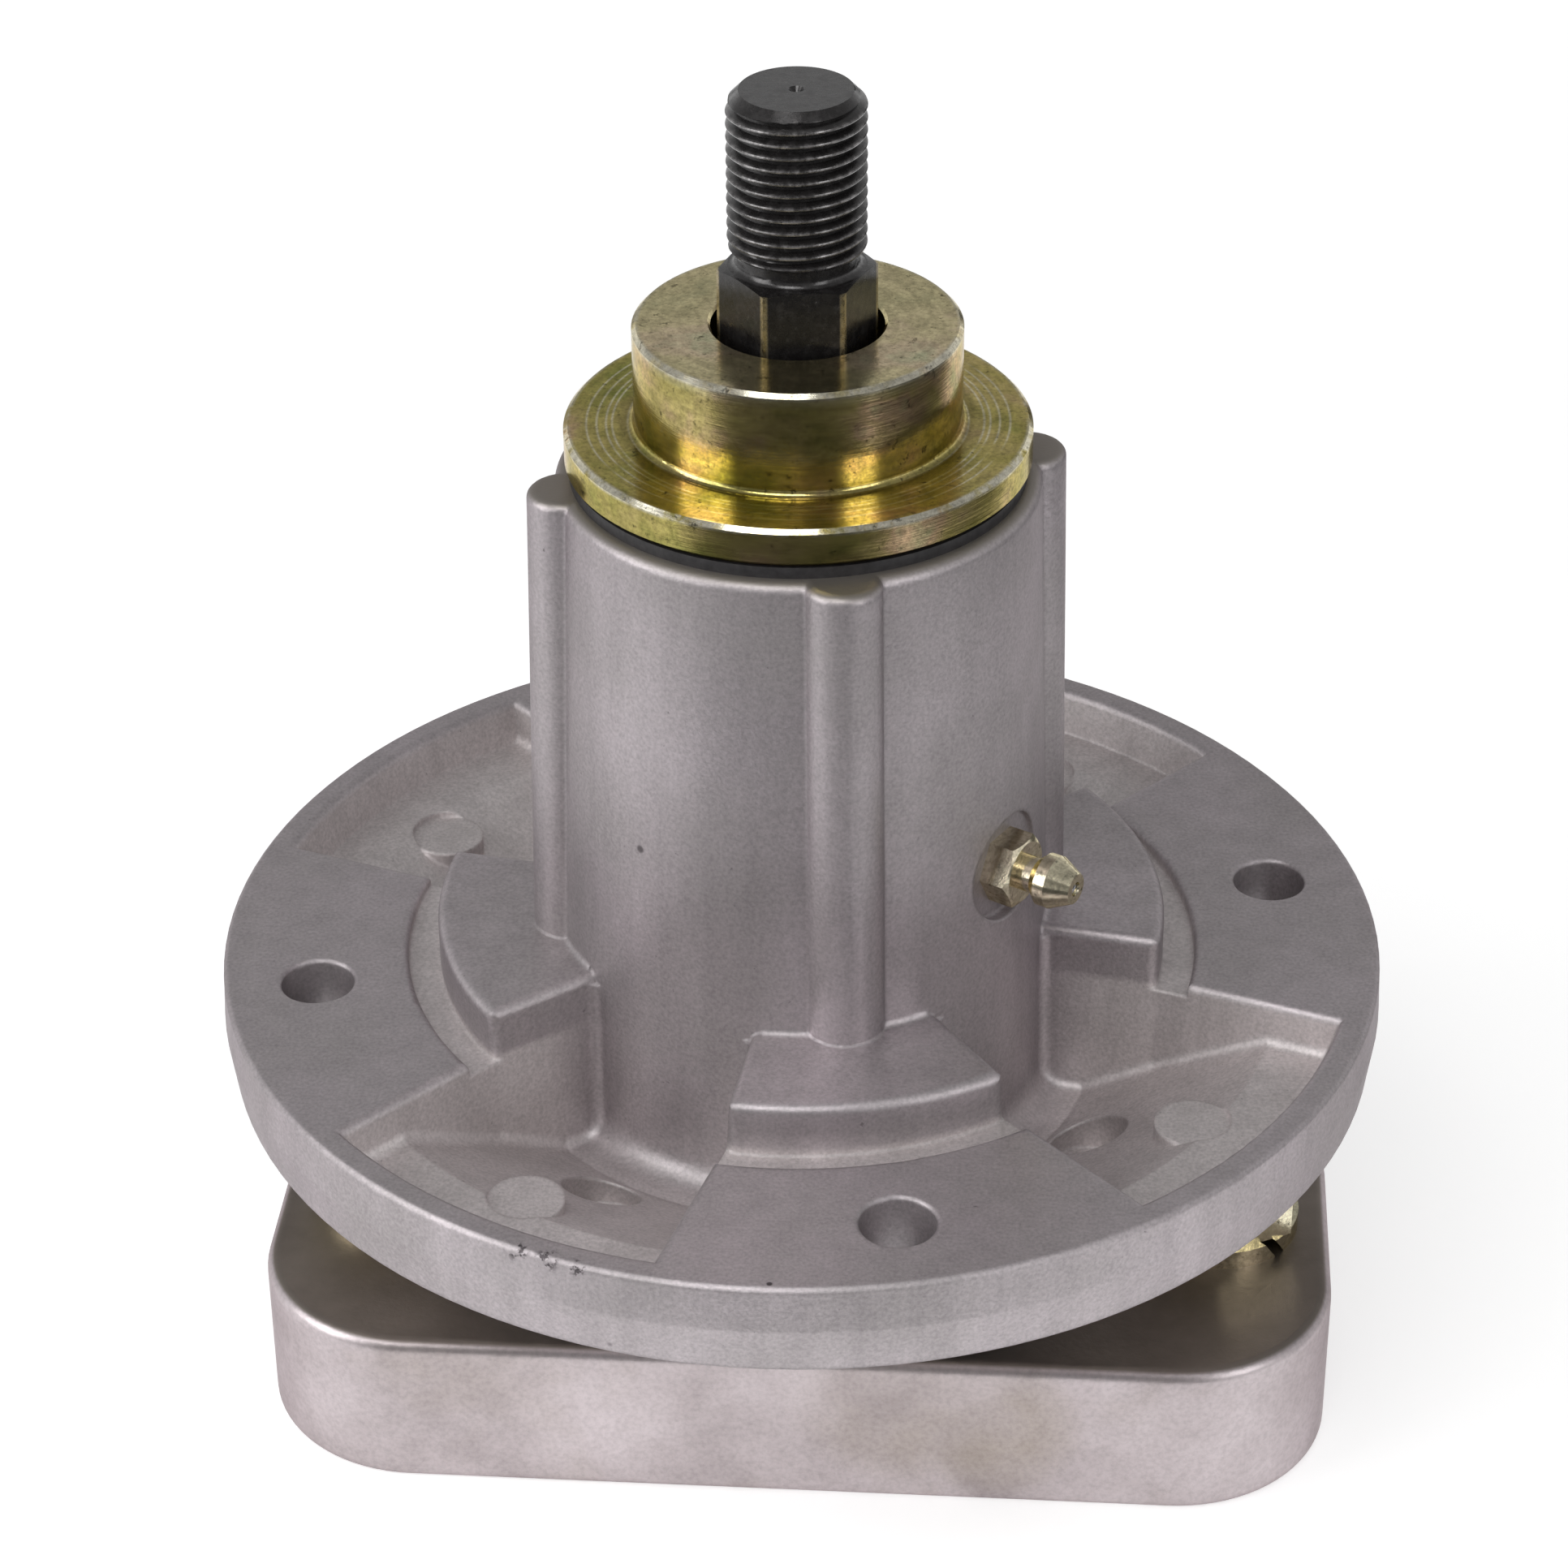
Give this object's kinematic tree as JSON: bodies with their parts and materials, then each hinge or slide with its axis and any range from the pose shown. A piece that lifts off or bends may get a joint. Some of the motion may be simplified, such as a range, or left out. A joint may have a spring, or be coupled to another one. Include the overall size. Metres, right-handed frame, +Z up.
{
  "type": "mower deck spindle",
  "caption": "Flanged die-cast housing with a ribbed tube, a bearing-borne shaft with hexagon and threaded end, a plated pulley spacer and a blade carrier block below.",
  "frame": {"origin": "on the shaft's axis, at the deck face of the housing's flange", "axes": "+Z up the shaft towards its threaded end, +X along the blade carrier's long side"},
  "size_m": [0.144, 0.1438, 0.1769],
  "materials": {
    "die_cast_aluminium": "fine speckled as-cast skin",
    "bearing_steel": "ground and polished",
    "black_rubber": "matt",
    "cage_plastic": "moulded nylon",
    "spring_steel": "phosphated",
    "yellow_zinc": "iridescent yellow zinc plating",
    "black_oxide_steel": "black oxide",
    "dark_sheet_steel": "dark pressed sheet",
    "blasted_steel": "blasted, oiled and stained",
    "plain_steel": "turned",
    "zinc_steel": "bright zinc plating"
  },
  "bodies": {
    "housing": {"spindle_housing": "die_cast_aluminium", "upper_outer_race": "bearing_steel", "lower_outer_race": "bearing_steel", "upper_bearing_top_seal": "black_rubber", "upper_bearing_bottom_seal": "black_rubber", "lower_bearing_top_seal": "black_rubber", "lower_bearing_bottom_seal": "black_rubber", "top_dust_seal": "black_rubber", "bearing_retaining_ring": "spring_steel", "grease_fitting_body": "yellow_zinc"},
    "rotor": {"spindle_shaft": "black_oxide_steel", "pulley_spacer": "yellow_zinc", "upper_inner_race": "bearing_steel", "lower_inner_race": "bearing_steel", "race_spacer_tube": "plain_steel", "dust_shield": "dark_sheet_steel", "blade_carrier": "blasted_steel", "shaft_key": "black_oxide_steel", "carrier_bolt": "zinc_steel", "carrier_bolt_washer": "zinc_steel", "blade_bolts": "yellow_zinc", "blade_bolt_washers": "yellow_zinc"},
    "upper_cage": {"upper_bearing_cage": "cage_plastic", "upper_bearing_balls": "bearing_steel"},
    "lower_cage": {"lower_bearing_cage": "cage_plastic", "lower_bearing_balls": "bearing_steel"},
    "check_ball": {"grease_fitting_ball": "bearing_steel", "grease_fitting_spring": "spring_steel"}
  },
  "joints": [
    {"name": "spindle_spin", "type": "hinge", "parent": "housing", "child": "rotor", "pos_m": [0, 0, 0], "axis": [0, 0, 1], "continuous": true},
    {"name": "upper_cage_spin", "type": "hinge", "parent": "housing", "child": "upper_cage", "pos_m": [0, 0, 0.053], "axis": [0, 0, 1], "continuous": true},
    {"name": "lower_cage_spin", "type": "hinge", "parent": "housing", "child": "lower_cage", "pos_m": [0, 0, -0.021], "axis": [0, 0, 1], "continuous": true},
    {"name": "check_ball_press", "type": "slide", "parent": "housing", "child": "check_ball", "axis": [-0.8695, 0.4939, 0], "range_m": [0, 0.0005], "stiffness_N_per_m": 150, "springref_m": -0.0008}
  ],
  "couplings": [
    {"joint": "upper_cage_spin", "follows": "spindle_spin", "ratio": 0.38152},
    {"joint": "lower_cage_spin", "follows": "spindle_spin", "ratio": 0.38152}
  ]
}
